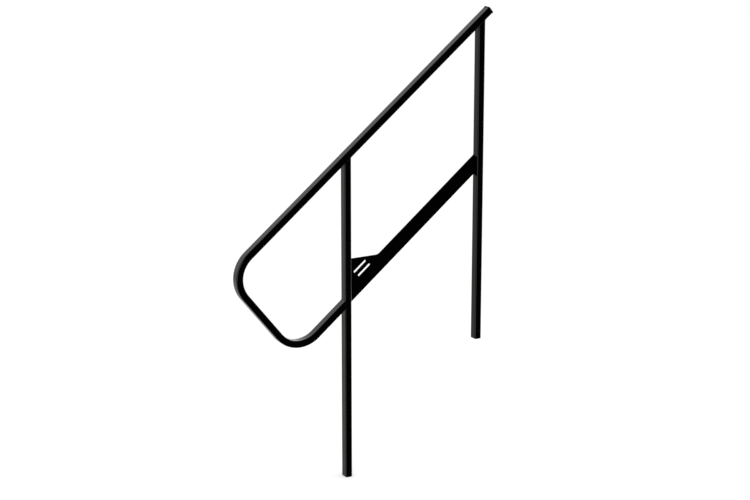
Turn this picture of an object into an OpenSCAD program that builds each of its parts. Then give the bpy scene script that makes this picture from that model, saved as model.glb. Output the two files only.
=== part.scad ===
// Stair railing: a bent rectangular tube on two posts, with a sloping infill plate.
// X runs up the stair, Z is up, and the front of the railing faces -Y.
// The origin is the middle of the lower post's foot.

/* [Tube] */
// Size of the tube across the railing
tube_width = 40; // [30:1:60]
// Size of the tube in the plane of the railing
tube_depth = 30; // [24:1:45]
// Wall thickness of the tube
tube_wall = 2.5; // [1.5:0.5:4]
// Outer corner radius of the tube
tube_corner = 6; // [5:0.5:9]

/* [Stair] */
// Rise of one step
step_rise = 200; // [150:5:220]
// Going of one step
step_going = 250; // [220:5:300]

/* [Posts] */
// Height from a post's foot to the handrail's underside on the post's centre line
rail_height = 1350; // [1200:10:1500]
// Distance between the posts, measured level
post_spacing = 630; // [500:10:800]

/* [Handrail] */
// Length of handrail beyond the upper post's centre line, along the slope
rail_overhang = 61; // [45:1:150]
// Bend radius on the tube's centre line
bend_radius = 120; // [90:5:150]
// Height of the return rail's underside on the lower post's centre line
return_height = 741; // [650:1:850]
// Reach of the loop below the lower post, along the slope
loop_reach = 295; // [290:5:400]

/* [Infill plate] */
// Thickness of the plate
plate_thickness = 3; // [2:0.5:6]
// Width of the plate's sloping band
plate_width = 65; // [40:1:100]
// Height of the plate's lower edge on the lower post's centre line
plate_height = 728; // [600:1:800]
// Height of the gusset's level top edge
gusset_height = 935; // [870:1:1000]
// Radius of the corner between the gusset's top edge and the band
gusset_fillet = 30; // [5:1:60]
// Number of slots in the gusset
slot_count = 2; // [1:1:3]
// Length of each slot
slot_length = 70; // [40:1:90]
// Width of each slot
slot_width = 9; // [5:0.5:14]
// Distance between the centre lines of the slots
slot_pitch = 26; // [16:1:34]
// Distance from the post's face to the first slot's lower end
slot_inset = 27; // [14:1:40]
// How much further up the slope each next slot starts
slot_stagger = 25; // [0:1:35]
// Distance, square to the slope, from the gusset's upper corner to the first slot's centre line
slot_offset = 64.3; // [55:0.1:115]

/* [End cap] */
// Thickness of the cap's head
cap_head = 5.5; // [2:0.5:8]
// How far the cap's head stands proud of the tube on each side
cap_lip = 0.8; // [0:0.1:2]
// Bevel round the cap's outer edge
cap_bevel = 0.75; // [0.5:0.25:2]
// Length of the cap's stem inside the tube
cap_stem = 28; // [12:1:40]
// Wall of the cap's hollow stem
cap_wall = 2; // [1.5:0.25:3]
// Number of ribs round the stem
cap_ribs = 4; // [2:1:6]
// Thickness of one rib along the stem
cap_rib = 1.5; // [1:0.25:2.5]
// Gap between the stem's core and the tube, which the ribs bridge
cap_gap = 1.5; // [1:0.25:2.5]
// Corner radius of the stem's core
cap_stem_corner = 1; // [0.5:0.25:2]

/* [Welds] */
// Leg of the weld beads
weld_leg = 2; // [1.5:0.5:5]

/* [Hidden] */
$fn = 64;

slope = atan(step_rise / step_going);
grade = step_rise / step_going;
upper_foot = post_spacing * grade;
bore_corner = max(tube_corner - tube_wall, 1);
flat_half = tube_width / 2 - tube_corner;
post_face = tube_depth / 2;

// Places on the handrail's own plane: along the slope from the lower post, and out of the slope.
rail_line = tube_depth / 2;
return_drop = (rail_height - return_height) * cos(slope);
return_line = rail_line - return_drop;
return_start = -(rail_height - return_height) * sin(slope);
loop_end = return_start - loop_reach;
bend_start = loop_end + bend_radius;
rail_top = post_spacing / cos(slope) + rail_overhang;
return_reach = return_start + 2 * tube_depth;
reach = 2 * rail_height;
overlap = 1;

// Plate, with its back flush with the ends of the tubes' flat sides
plate_back = flat_half;
plate_left = post_face;
plate_right = post_spacing - post_face;
plate_rise = plate_width / cos(slope);
gusset_end = (gusset_height - plate_height - plate_rise) / grade;
fillet_tangent = gusset_fillet * tan(slope / 2);

// Cap's head and stem
head_depth = tube_depth + 2 * cap_lip;
head_width = tube_width + 2 * cap_lip;
head_corner = tube_corner + cap_lip;
stem_inset = tube_wall + cap_gap;
rib_pitch = cap_stem / (cap_ribs + 0.5);

// Bead round a tube's slanted end: half its length, to a hundredth, half its width, and its rise
bead_reach = round(100 * post_face / cos(slope)) / 100;
bead_across = tube_width / 2 - 1.2 * weld_leg;
bead_up = 0.2 * weld_leg;
// How far from the middle, across the railing, a bead's root reaches in between two tubes
weld_root = flat_half + weld_leg / 2;
bar_reach = 4 * tube_depth;

steel = "#1b1b1a";
plastic = "#0c0c0c";

// Rounded rectangle, depth along x and width along y, made smaller all round by inset.
module section(inset = 0, corner = tube_corner) {
    d = tube_depth - 2 * inset;
    w = tube_width - 2 * inset;
    square([d - 2 * corner, w], center = true);
    square([d, w - 2 * corner], center = true);
    for (x = [-1, 1], y = [-1, 1]) {
        translate([x * (d / 2 - corner), y * (w / 2 - corner)])
            circle(corner);
    }
}

// Puts children on the slope, with x up the slope and z out of it.
module on_slope(height) {
    translate([0, 0, height])
        rotate([0, -slope, 0])
            children();
}

// Straight run of section along x, from x0 to x1 at height z on the slope
module run_along(x0, x1, z, inset, corner) {
    translate([x0, 0, z])
        rotate([0, 90, 0])
            linear_extrude(x1 - x0)
                section(inset, corner);
}

// Quarter bend about [x, z], from angle a0 on
module bend(x, z, a0, inset, corner) {
    translate([x, 0, z])
        rotate([90, 0, 0])
            rotate([0, 0, a0])
                rotate_extrude(angle = 90, $fn = 128)
                    translate([bend_radius, 0])
                        section(inset, corner);
}

// The handrail's solid outline, from the upper end round the loop to the return's end
module rail_path(inset, corner, spare) {
    run_along(bend_start, rail_top + spare, rail_line, inset, corner);
    bend(bend_start, rail_line - bend_radius, 90, inset, corner);
    translate([loop_end, 0, return_line + bend_radius])
        linear_extrude(return_drop - 2 * bend_radius)
            section(inset, corner);
    bend(bend_start, return_line + bend_radius, 180, inset, corner);
    run_along(bend_start, return_reach, return_line, inset, corner);
}

module handrail_tube() {
    color(steel)
        difference() {
            on_slope(rail_height)
                difference() {
                    rail_path(0, tube_corner, 0);
                    rail_path(tube_wall, bore_corner, overlap);
                }
            post_face_cut();
        }
}

// Post from its foot up to the slope's line, where the handrail rests on it
module post_solid(inset = 0, corner = tube_corner) {
    difference() {
        linear_extrude(rail_height + tube_depth)
            section(inset, corner);
        on_slope(rail_height)
            translate([-reach / 2, -tube_width, 0])
                cube([reach, 2 * tube_width, reach]);
    }
}

module post() {
    color(steel)
        difference() {
            post_solid();
            translate([0, 0, -overlap])
                linear_extrude(rail_height + tube_depth + 2 * overlap)
                    section(tube_wall, bore_corner);
        }
}

module lower_post() {
    post();
}

module upper_post() {
    translate([post_spacing, 0, upper_foot])
        post();
}

// Outline of the plate in x and z
module plate_outline() {
    polygon([
        [plate_left, plate_height + plate_left * grade],
        [plate_right, plate_height + plate_right * grade],
        [plate_right, plate_height + plate_rise + plate_right * grade],
        [gusset_end, gusset_height],
        [plate_left, gusset_height]
    ]);
    difference() {
        polygon([
            [gusset_end - fillet_tangent, gusset_height],
            [gusset_end, gusset_height - overlap],
            [gusset_end + fillet_tangent * cos(slope), gusset_height + fillet_tangent * sin(slope)]
        ]);
        translate([gusset_end - fillet_tangent, gusset_height + gusset_fillet])
            circle(gusset_fillet, $fn = 128);
    }
}

module slot() {
    translate([slot_width / 2, -slot_width / 2])
        square([slot_length - slot_width, slot_width]);
    for (x = [slot_width / 2, slot_length - slot_width / 2]) {
        translate([x, 0])
            circle(slot_width / 2);
    }
}

module infill_plate() {
    slot_left = plate_left + slot_inset;
    color(steel)
        translate([0, plate_back, 0])
            rotate([90, 0, 0])
                linear_extrude(plate_thickness)
                    difference() {
                        plate_outline();
                        for (i = [0 : slot_count - 1]) {
                            drop = (slot_offset + i * slot_pitch) / cos(slope);
                            translate([slot_left, gusset_height + slot_inset * grade - drop])
                                rotate(slope)
                                    translate([i * slot_stagger, 0])
                                        slot();
                        }
                    }
}

// Hollow stem section, out to inset from the tube's outside
module stem_section(inset, corner) {
    difference() {
        section(inset, corner);
        section(stem_inset + cap_wall, cap_stem_corner / 2);
    }
}

// Plastic insert: a bevelled head on the tube's end and a ribbed hollow stem inside it
module handrail_end_cap() {
    color(plastic)
        on_slope(rail_height)
            translate([rail_top, 0, rail_line])
                rotate([0, 90, 0]) {
                    cap_head_solid();
                    translate([0, 0, -cap_stem])
                        linear_extrude(cap_stem)
                            stem_section(stem_inset, cap_stem_corner);
                    for (i = [1 : cap_ribs]) {
                        translate([0, 0, -i * rib_pitch])
                            linear_extrude(cap_rib)
                                stem_section(tube_wall, bore_corner);
                    }
                }
}

// Cap's head: a plain slab with a bevelled one on it
module cap_head_solid() {
    linear_extrude(cap_head - cap_bevel)
        section(-cap_lip, head_corner);
    translate([0, 0, cap_head - cap_bevel]) {
        for (x = [-1, 1], y = [-1, 1]) {
            translate([x * (head_depth / 2 - head_corner), y * (head_width / 2 - head_corner)])
                cylinder(h = cap_bevel, r1 = head_corner, r2 = head_corner - cap_bevel);
        }
        rotate([90, 0, 0])
            linear_extrude(head_width - 2 * head_corner, center = true)
                bevelled_side(head_depth);
        rotate([90, 0, 90])
            linear_extrude(head_depth - 2 * head_corner, center = true)
                bevelled_side(head_width);
    }
}

// Side view of the head's bevelled slab
module bevelled_side(length) {
    polygon([
        [-length / 2, 0],
        [length / 2, 0],
        [length / 2 - cap_bevel, cap_bevel],
        [-length / 2 + cap_bevel, cap_bevel]
    ]);
}

// Round bead along the edge of a tube's slanted end, lying in x and y with y across the railing
module end_bead() {
    for (x = [-1, 1]) {
        translate([x * bead_reach, 0, 0])
            rotate([90, 0, 0])
                cylinder(h = 2 * (bead_across - tube_corner), r = weld_leg, center = true);
    }
    for (y = [-1, 1]) {
        translate([0, y * bead_across, 0])
            rotate([0, 90, 0])
                cylinder(h = 2 * (bead_reach - tube_corner), r = weld_leg, center = true);
    }
    for (a = [0, 90, 180, 270]) {
        x = sign(cos(a + 45)) * (bead_reach - tube_corner);
        y = sign(sin(a + 45)) * (bead_across - tube_corner);
        translate([x, y, 0])
            rotate(a)
                rotate_extrude(angle = 90)
                    translate([tube_corner, 0])
                        circle(weld_leg);
    }
}

// Both sides of a joint beyond z = 0, where a bead reaches in between the end of one tube and
// the rounded corners of the other
module root_sides() {
    for (side = [-1, 1]) {
        translate([-reach / 2, side * (weld_root + tube_width / 2) - tube_width / 2, 0])
            cube([reach, tube_width, reach]);
    }
}

// Bead all round a post's top, under the handrail
module post_weld() {
    color(steel)
        difference() {
            on_slope(rail_height)
                translate([0, 0, bead_up])
                    end_bead();
            difference() {
                linear_extrude(rail_height + tube_depth)
                    section();
                on_slope(rail_height)
                    root_sides();
            }
            on_slope(rail_height)
                run_along(-bar_reach, bar_reach, rail_line, 0, tube_corner);
        }
}

module weld_lower_post_rail() {
    post_weld();
}

module weld_upper_post_rail() {
    translate([post_spacing, 0, upper_foot])
        post_weld();
}

// Everything on the uphill side of the lower post's near face, below the handrail
module post_face_cut() {
    translate([-post_face, -tube_width, 0])
        cube([5 * tube_depth, 2 * tube_width, rail_height - tube_depth]);
}

// Bead all round the return rail's end, on the lower post
module weld_return_rail() {
    joint_middle = return_height - post_face * grade + tube_depth / 2 / cos(slope);
    color(steel)
        difference() {
            translate([-post_face + bead_up, 0, joint_middle])
                rotate([0, 90, 0])
                    end_bead();
            linear_extrude(rail_height)
                section();
            difference() {
                on_slope(rail_height)
                    run_along(return_start - bar_reach, return_reach, return_line, 0, tube_corner);
                translate([-post_face, 0, joint_middle])
                    rotate([0, 90, 0])
                        root_sides();
            }
        }
}

// Upright bead behind the plate's end, in the corner between the plate and a post
module weld_plate_lower_post() {
    foot = plate_height + plate_left * grade;
    color(steel)
        difference() {
            translate([plate_left, plate_back, foot])
                cylinder(h = gusset_height - foot, r = weld_leg);
            linear_extrude(rail_height)
                section();
            plate_solid();
        }
}

module weld_plate_upper_post() {
    color(steel)
        difference() {
            translate([plate_right, plate_back, plate_height + plate_right * grade])
                cylinder(h = plate_rise, r = weld_leg);
            translate([post_spacing, 0, 0])
                linear_extrude(rail_height + upper_foot)
                    section();
            plate_solid();
        }
}

// The plate's side of a bead: all that lies in front of the plate's back
module plate_solid() {
    translate([0, plate_back - tube_width, 0])
        cube([post_spacing, tube_width, rail_height + upper_foot]);
}

handrail_tube();
lower_post();
upper_post();
infill_plate();
handrail_end_cap();
weld_lower_post_rail();
weld_upper_post_rail();
weld_return_rail();
weld_plate_lower_post();
weld_plate_upper_post();
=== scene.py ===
import math

import bpy
from mathutils import Matrix, Vector


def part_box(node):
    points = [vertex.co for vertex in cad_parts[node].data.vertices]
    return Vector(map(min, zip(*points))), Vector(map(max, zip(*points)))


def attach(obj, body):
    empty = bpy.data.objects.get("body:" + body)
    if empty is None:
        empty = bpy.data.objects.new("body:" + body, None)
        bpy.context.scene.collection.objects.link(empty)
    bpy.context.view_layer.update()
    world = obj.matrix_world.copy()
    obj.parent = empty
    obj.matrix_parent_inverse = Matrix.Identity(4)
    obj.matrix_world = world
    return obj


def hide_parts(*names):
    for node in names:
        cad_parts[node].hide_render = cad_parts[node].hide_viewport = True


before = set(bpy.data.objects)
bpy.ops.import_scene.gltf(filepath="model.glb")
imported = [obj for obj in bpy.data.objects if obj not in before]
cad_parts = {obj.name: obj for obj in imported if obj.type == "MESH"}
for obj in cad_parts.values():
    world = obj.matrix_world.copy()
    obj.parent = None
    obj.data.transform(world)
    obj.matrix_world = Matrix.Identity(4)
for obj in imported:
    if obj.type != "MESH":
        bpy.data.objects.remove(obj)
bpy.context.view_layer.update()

scene = bpy.context.scene
scene.view_settings.view_transform = "Standard"
print("frame loaded:", len(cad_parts), "nodes")

cameraValues = {
    "target": (0.13439, 0.0, 0.95902),  # point in the middle of the picture
    "distance": 8.21362,
    "yaw": 29.895,  # degrees from +Y towards +X
    "pitch": 15.4242,  # degrees down
    "lens": 96.455,  # millimetres, as the sensor
    "sensor": 36,
}


def makeCamera(values):
    yaw = math.radians(values["yaw"])
    pitch = math.radians(values["pitch"])
    look = Vector((math.cos(pitch) * math.sin(yaw), math.cos(pitch) * math.cos(yaw), -math.sin(pitch)))
    data = bpy.data.cameras.new("railingCamera")
    data.lens = values["lens"]
    data.sensor_width = values["sensor"]
    data.sensor_fit = "HORIZONTAL"
    camera = bpy.data.objects.new("railingCamera", data)
    scene.collection.objects.link(camera)
    camera.location = Vector(values["target"]) - values["distance"] * look
    camera.rotation_euler = look.to_track_quat("-Z", "Y").to_euler()
    scene.camera = camera


makeCamera(cameraValues)
print("camera placed")


def feed(tree, socket, value):  # a number is written in, anything else is linked in
    if isinstance(value, (int, float)):
        socket.default_value = value
    else:
        tree.links.new(value, socket)


def sums(tree, operation, *values):
    node = tree.nodes.new("ShaderNodeMath")
    node.operation = operation
    for socket, value in zip(node.inputs, values):
        feed(tree, socket, value)
    return node.outputs[0]


def spread(tree, value, fromMin, fromMax, toMin, toMax, smooth=False):
    node = tree.nodes.new("ShaderNodeMapRange")
    if smooth:
        node.interpolation_type = "SMOOTHSTEP"
    for name, number in (("Value", value), ("From Min", fromMin), ("From Max", fromMax),
                         ("To Min", toMin), ("To Max", toMax)):
        feed(tree, node.inputs[name], number)
    return node.outputs["Result"]


def ramp(tree, value, stops):
    node = tree.nodes.new("ShaderNodeValToRGB")
    feed(tree, node.inputs[0], value)
    ends = node.color_ramp.elements
    for i, (place, colour) in enumerate(stops):
        stop = ends[i] if i < 2 else ends.new(place)
        stop.position, stop.color = place, (*colour, 1)
    return node.outputs["Color"]


studioValues = {
    "soft": 0.9,  # light on matt surfaces, the same all round
    # light in the gloss, by degrees round from the back (+Y), with + towards -X
    "round": [(-180, 0.0), (180, 0.0), (-117, 0.0), (-106, 1.40), (-34, 1.40), (-14, 1.05),
              (21, 0.99), (26, 0.74), (29, 0.55), (33, 0.41), (46, 0.12), (86, 0.12),
              (94, 1.10), (114, 1.25), (121, 0.0)],
    # and by height, from straight down (-1) to straight up (1)
    "height": [(-1, 0.5), (1, 0.0), (-0.5, 0.62), (-0.42, 0.78), (-0.34, 1.0), (0.57, 1.0), (0.76, 0.04)],
    # turns below run from 0 in front, by +X, 0.5 at the back and -X, to 1 in front again
    "lean": 8,  # degrees by which the left-hand gap moves away above the horizon
    "leanHeights": (-0.25, 0.05),
    "leanTurns": (0.50, 0.56),
    "reach": 11,  # degrees by which the light in front on the left reaches further round, but not low down
    "reachHeights": (-0.34, -0.28),
    "reachTurns": (0.75, 0.80),
    "warm": (1.0, 0.985, 0.93),  # tint of the light from low on the left
    "warmHeights": (-0.20, 0.30),
    "warmTurns": (0.53, 0.57),
}


def makeWorld(values):
    world = bpy.data.worlds.new("paleStudio")
    scene.world = world
    world.use_nodes = True
    tree = world.node_tree
    tree.nodes.clear()
    out = tree.nodes.new("ShaderNodeOutputWorld")
    path = tree.nodes.new("ShaderNodeLightPath")
    coord = tree.nodes.new("ShaderNodeTexCoord")
    split = tree.nodes.new("ShaderNodeSeparateXYZ")
    tree.links.new(coord.outputs["Generated"], split.inputs[0])
    x, y, z = split.outputs

    turn = sums(tree, "ARCTAN2", sums(tree, "MULTIPLY", x, -1.0), y)
    turn = spread(tree, turn, -math.pi, math.pi, 0.0, 1.0)
    lean = spread(tree, z, *values["leanHeights"], 0.0, values["lean"] / 360, smooth=True)
    onLeft = spread(tree, turn, *values["leanTurns"], 0.0, 1.0)
    turn = sums(tree, "SUBTRACT", turn, sums(tree, "MULTIPLY", lean, onLeft))
    reach = spread(tree, z, *values["reachHeights"], 0.0, values["reach"] / 360)
    inFront = spread(tree, turn, *values["reachTurns"], 0.0, 1.0)
    turn = sums(tree, "SUBTRACT", turn, sums(tree, "MULTIPLY", reach, inFront))
    # the strengths are halved in the ramp and doubled after it, so that none is over 1 there
    around = ramp(tree, turn, [(a / 360 + 0.5, (v / 2,) * 3) for a, v in values["round"]])
    height = ramp(tree, sums(tree, "MULTIPLY_ADD", z, 0.5, 0.5),
                  [(h / 2 + 0.5, (v,) * 3) for h, v in values["height"]])
    gloss = sums(tree, "MULTIPLY", sums(tree, "MULTIPLY", around, 2.0), height)

    seen = path.outputs["Is Camera Ray"]  # the backdrop itself is plain white
    mirrored = sums(tree, "MAXIMUM", path.outputs["Is Glossy Ray"], path.outputs["Is Transmission Ray"])
    matt = sums(tree, "MULTIPLY", sums(tree, "SUBTRACT", 1.0, mirrored), values["soft"])
    strength = sums(tree, "ADD", sums(tree, "MULTIPLY", mirrored, gloss), matt)
    strength = sums(tree, "MULTIPLY", strength, sums(tree, "SUBTRACT", 1.0, seen))
    strength = sums(tree, "ADD", strength, seen)

    lowLeft = sums(tree, "MULTIPLY", spread(tree, turn, *values["warmTurns"], 0.0, 1.0),
                   spread(tree, z, *values["warmHeights"], 1.0, 0.0))
    lowLeft = sums(tree, "MULTIPLY", lowLeft, mirrored)
    tint = tree.nodes.new("ShaderNodeMix")
    tint.data_type = "RGBA"
    tree.links.new(lowLeft, tint.inputs["Factor"])
    tint.inputs["A"].default_value = (1, 1, 1, 1)
    tint.inputs["B"].default_value = (*values["warm"], 1)

    light = tree.nodes.new("ShaderNodeBackground")
    tree.links.new(tint.outputs["Result"], light.inputs["Color"])
    tree.links.new(strength, light.inputs["Strength"])
    tree.links.new(light.outputs[0], out.inputs["Surface"])


makeWorld(studioValues)

lampValues = {
    "keyLamp": {"place": (-4.5, -5.0, 6.5), "size": 4.0, "power": 120},
    "fillLamp": {"place": (5.5, -3.0, 4.5), "size": 5.0, "power": 50},
}
lampAim = (0.1, 0.0, 0.9)  # about the middle of the railing


def makeLamp(name, values):
    data = bpy.data.lights.new(name, "AREA")
    data.shape = "DISK"
    data.size = values["size"]
    data.energy = values["power"]
    lamp = bpy.data.objects.new(name, data)
    scene.collection.objects.link(lamp)
    lamp.location = values["place"]
    aim = Vector(lampAim) - Vector(values["place"])
    lamp.rotation_euler = aim.to_track_quat("-Z", "Y").to_euler()
    lamp.visible_glossy = False  # only the studio's walls show in the gloss


for lampName, values in lampValues.items():
    makeLamp(lampName, values)
print("studio lit")

floorValues = {"size": 40.0, "tone": 0.80, "lift": 0.28}  # lift is a glow that only the camera sees


def makeFloor(values):
    bpy.ops.object.select_all(action="DESELECT")
    bpy.ops.mesh.primitive_plane_add(size=values["size"], location=(0, 0, 0))
    floor = bpy.context.object
    floor.name = "paleFloor"
    floor.visible_glossy = False
    material = bpy.data.materials.new("paleFloor")
    material.use_nodes = True
    tree = material.node_tree
    tree.nodes.clear()
    out = tree.nodes.new("ShaderNodeOutputMaterial")
    matt = tree.nodes.new("ShaderNodeBsdfDiffuse")
    matt.inputs["Color"].default_value = (values["tone"], values["tone"], values["tone"], 1)
    glow = tree.nodes.new("ShaderNodeEmission")
    path = tree.nodes.new("ShaderNodeLightPath")
    lift = sums(tree, "MULTIPLY", path.outputs["Is Camera Ray"], values["lift"])
    tree.links.new(lift, glow.inputs["Strength"])
    both = tree.nodes.new("ShaderNodeAddShader")
    tree.links.new(matt.outputs[0], both.inputs[0])
    tree.links.new(glow.outputs[0], both.inputs[1])
    tree.links.new(both.outputs[0], out.inputs["Surface"])
    floor.data.materials.append(material)


makeFloor(floorValues)
print("floor laid")


def makePaintSkin():  # fine ripple of a sprayed coat, and broad patches of more or less gloss
    group = bpy.data.node_groups.new("paintSkin", "ShaderNodeTree")
    sockets = group.interface
    for name, value in (("Grain", 420.0), ("Depth", 0.02), ("Patch Size", 6.0)):
        sockets.new_socket(name=name, in_out="INPUT", socket_type="NodeSocketFloat").default_value = value
    sockets.new_socket(name="Normal", in_out="OUTPUT", socket_type="NodeSocketVector")
    sockets.new_socket(name="Patches", in_out="OUTPUT", socket_type="NodeSocketFloat")
    inside = group.nodes.new("NodeGroupInput")
    outside = group.nodes.new("NodeGroupOutput")
    coord = group.nodes.new("ShaderNodeTexCoord")

    def noise(scale, detail):
        node = group.nodes.new("ShaderNodeTexNoise")
        group.links.new(coord.outputs["Object"], node.inputs["Vector"])
        group.links.new(inside.outputs[scale], node.inputs["Scale"])
        node.inputs["Detail"].default_value = detail
        return node.outputs["Fac"]

    bump = group.nodes.new("ShaderNodeBump")
    bump.inputs["Distance"].default_value = 0.001  # height of the whole noise, in metres
    group.links.new(inside.outputs["Depth"], bump.inputs["Strength"])
    group.links.new(noise("Grain", 2), bump.inputs["Height"])
    group.links.new(bump.outputs["Normal"], outside.inputs["Normal"])
    group.links.new(noise("Patch Size", 3), outside.inputs["Patches"])
    return group


paintSkin = makePaintSkin()
patchSpan = (0.35, 0.65)  # where most of the patches' noise lies


def makeFinish(name, values):
    material = bpy.data.materials.new(name)
    material.use_nodes = True
    tree = material.node_tree
    shader = tree.nodes["Principled BSDF"]
    skin = tree.nodes.new("ShaderNodeGroup")
    skin.node_tree = paintSkin
    for socket in ("Grain", "Depth", "Patch Size"):
        skin.inputs[socket].default_value = values[socket]
    tree.links.new(skin.outputs["Normal"], shader.inputs["Normal"])
    patches = spread(tree, skin.outputs["Patches"], *patchSpan, 0.0, 1.0)
    tone = tree.nodes.new("ShaderNodeMix")
    tone.data_type = "RGBA"
    tree.links.new(patches, tone.inputs["Factor"])
    tone.inputs["A"].default_value = (*values["dark"], 1)
    tone.inputs["B"].default_value = (*values["pale"], 1)
    tree.links.new(tone.outputs["Result"], shader.inputs["Base Color"])
    rough = spread(tree, skin.outputs["Patches"], *patchSpan, *values["rough"])
    tree.links.new(rough, shader.inputs["Roughness"])
    shader.inputs["IOR"].default_value = values["ior"]
    shader.inputs["Specular IOR Level"].default_value = values["shine"]
    return material


finishValues = {
    "glossBlackPaint": {
        "dark": (0.0004, 0.0004, 0.0004), "pale": (0.0010, 0.0010, 0.0009), "rough": (0.05, 0.10),
        "ior": 1.5, "shine": 0.5, "Grain": 420.0, "Depth": 0.03, "Patch Size": 6.0,
    },
    "paintedWeld": {
        "dark": (0.0008, 0.0008, 0.0008), "pale": (0.0020, 0.0020, 0.0019), "rough": (0.08, 0.16),
        "ior": 1.5, "shine": 0.5, "Grain": 900.0, "Depth": 0.05, "Patch Size": 60.0,
    },
    "mattCapPlastic": {
        "dark": (0.0012, 0.0012, 0.0012), "pale": (0.0028, 0.0028, 0.0028), "rough": (0.42, 0.55),
        "ior": 1.46, "shine": 0.2, "Grain": 1600.0, "Depth": 0.08, "Patch Size": 40.0,
    },
}
finishes = {name: makeFinish(name, values) for name, values in finishValues.items()}


def finishOf(nodeName):
    if nodeName.startswith("weld"):
        return finishes["paintedWeld"]
    if nodeName.endswith("cap"):
        return finishes["mattCapPlastic"]
    return finishes["glossBlackPaint"]


for name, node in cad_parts.items():
    node.data.materials.clear()
    node.data.materials.append(finishOf(name))
print("finishes mixed")

joinWithin = 0.00002  # points of a mesh that lie closer are one


def startFrom(nodeName, name):  # an editable copy of a CAD node, with its loose triangles merged
    bpy.ops.object.select_all(action="DESELECT")
    piece = bpy.data.objects.new(name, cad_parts[nodeName].data.copy())
    scene.collection.objects.link(piece)
    bpy.context.view_layer.objects.active = piece
    piece.select_set(True)
    bpy.ops.object.mode_set(mode="EDIT")
    bpy.ops.mesh.select_all(action="SELECT")
    bpy.ops.mesh.remove_doubles(threshold=joinWithin)
    bpy.ops.object.mode_set(mode="OBJECT")
    return piece


def standFor(piece, nodeName):
    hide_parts(nodeName)
    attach(piece, "root")


weldShape = {
    "pitch": 0.0016,  # from one ripple to the next
    "ripple": 0.00014,  # how far a crest stands out, and a hollow lies in
    "points": 14,  # round the bead
    "radius": 0.0020,
    "reach": 0.01921,  # half the length of a ring, on its middle line
    "across": 0.0176,  # half its width, across the railing
    "corner": 0.006,
    "rise": 0.0004,  # how far its middle line lies beyond the tube's end
    "returnHeight": 0.74821,  # middle of the return rail's end, on the lower post
    "smooth": 50,  # degrees
}
slope = Vector((0.25, 0, 0.20)).normalized()  # going and rise of one step


def topOf(post):  # the handrail's underside on the post's centre line
    low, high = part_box(post)
    middle = (low.x + high.x) / 2
    return Vector((middle, 0, high.z - (high.x - middle) * slope.z / slope.x))


onSlope = Matrix.Rotation(-math.atan2(slope.z, slope.x), 4, "Y")
ringPlaces = {
    "weld_lower_post_rail": Matrix.Translation(topOf("lower_post")) @ onSlope,
    "weld_upper_post_rail": Matrix.Translation(topOf("upper_post")) @ onSlope,
    "weld_return_rail": (Matrix.Translation((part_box("lower_post")[0].x, 0, weldShape["returnHeight"]))
                         @ Matrix.Rotation(math.radians(90), 4, "Y")),
}


def growBead(values):  # a quarter of a ring, from the middle of its end to the middle of its side
    reach, across, corner = values["reach"], values["across"], values["corner"]
    bpy.ops.object.select_all(action="DESELECT")
    bpy.ops.mesh.primitive_circle_add(vertices=values["points"], radius=values["radius"] - values["ripple"],
                                      location=(reach, 0, values["rise"]), rotation=(math.radians(90), 0, 0))
    piece = bpy.context.object
    bpy.ops.object.transform_apply(location=True, rotation=True, scale=True)
    bpy.ops.object.mode_set(mode="EDIT")
    bpy.ops.mesh.select_all(action="SELECT")
    swell = (values["radius"] + values["ripple"]) / (values["radius"] - values["ripple"])
    middle = Vector((reach, 0, values["rise"]))
    up = False

    def step(way, turn=0.0):
        nonlocal middle, up
        bpy.ops.mesh.extrude_region_move(TRANSFORM_OT_translate={"value": way})
        middle += Vector(way)
        if turn:
            pivot = Vector((reach - corner, across - corner, middle.z))
            bpy.ops.transform.rotate(value=-turn, orient_axis="Z", center_override=pivot)
            middle = pivot + Matrix.Rotation(turn, 3, "Z") @ (middle - pivot)
        up = not up  # every other ring of points is a crest
        size = swell if up else 1 / swell
        bpy.ops.transform.resize(value=(size,) * 3, center_override=middle)

    def count(length):
        return max(2, 2 * round(length / values["pitch"]))

    def run(length, way):
        for i in range(count(length)):
            step(Vector(way) * (length / count(length)))

    run(across - corner, (0, 1, 0))
    turns = count(corner * math.pi / 2)
    for i in range(turns):
        step((0, 0, 0), math.pi / 2 / turns)
    run(reach - corner, (-1, 0, 0))
    bpy.ops.object.mode_set(mode="OBJECT")
    return piece


def closeRing(piece):
    for axis in range(2):
        mirror = piece.modifiers.new("otherSide", "MIRROR")
        mirror.use_axis = (axis == 0, axis == 1, False)
        mirror.use_clip = True
        mirror.merge_threshold = joinWithin
        bpy.ops.object.modifier_apply(modifier=mirror.name)
    bpy.ops.object.mode_set(mode="EDIT")
    bpy.ops.mesh.select_all(action="SELECT")
    bpy.ops.mesh.normals_make_consistent(inside=False)
    bpy.ops.object.mode_set(mode="OBJECT")


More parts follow.
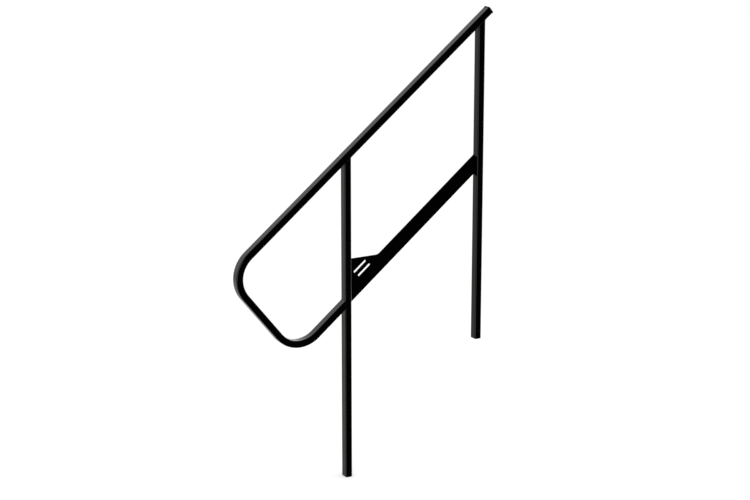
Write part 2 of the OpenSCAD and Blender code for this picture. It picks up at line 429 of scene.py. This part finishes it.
def makeRing(nodeName, values):
    piece = growBead(values)
    piece.name = nodeName + "_bead"
    closeRing(piece)
    piece.matrix_world = ringPlaces[nodeName]
    bpy.ops.object.transform_apply(location=True, rotation=True, scale=True)
    piece.data.materials.append(finishes["paintedWeld"])
    return piece


def makeStrip(nodeName, values):  # an upright bead behind the plate
    piece = startFrom(nodeName, nodeName + "_bead")
    low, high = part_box(nodeName)
    count = 2 * round((high.z - low.z) / values["pitch"])
    heights = [low.z + (high.z - low.z) * i / count for i in range(1, count)]
    bpy.ops.object.mode_set(mode="EDIT")
    bpy.ops.mesh.select_mode(type="VERT")
    for z in heights:
        bpy.ops.mesh.select_all(action="SELECT")
        bpy.ops.mesh.bisect(plane_co=(0, 0, z), plane_no=(0, 0, 1))
    bpy.ops.mesh.select_all(action="DESELECT")
    bpy.ops.object.mode_set(mode="OBJECT")
    for v in piece.data.vertices:  # every other cut is a crest
        v.select = any(abs(v.co.z - z) < joinWithin for z in heights[::2])
    bpy.ops.object.mode_set(mode="EDIT")
    bpy.ops.transform.shrink_fatten(value=values["ripple"])
    bpy.ops.object.mode_set(mode="OBJECT")
    return piece


for nodeName in sorted(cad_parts):
    if nodeName.startswith("weld"):
        if nodeName in ringPlaces:
            piece = makeRing(nodeName, weldShape)
        else:
            piece = makeStrip(nodeName, weldShape)
        bpy.ops.object.shade_smooth_by_angle(angle=math.radians(weldShape["smooth"]))
        standFor(piece, nodeName)
print("welds laid")

capShape = {
    "edge": 0.0004,  # width of the soft edge
    "segments": 3,
    "corner": 30,  # degrees past which an edge is softened
    "smooth": 40,  # degrees
}


def makeCap(values):
    piece = startFrom("handrail_end_cap", "handrail_end_cap_moulded")
    softEdge = piece.modifiers.new("softEdge", "BEVEL")
    softEdge.width = values["edge"]
    softEdge.segments = values["segments"]
    softEdge.limit_method = "ANGLE"
    softEdge.angle_limit = math.radians(values["corner"])
    bpy.ops.object.modifier_apply(modifier=softEdge.name)
    bpy.ops.object.shade_smooth_by_angle(angle=math.radians(values["smooth"]))
    standFor(piece, "handrail_end_cap")


makeCap(capShape)
print("cap moulded")
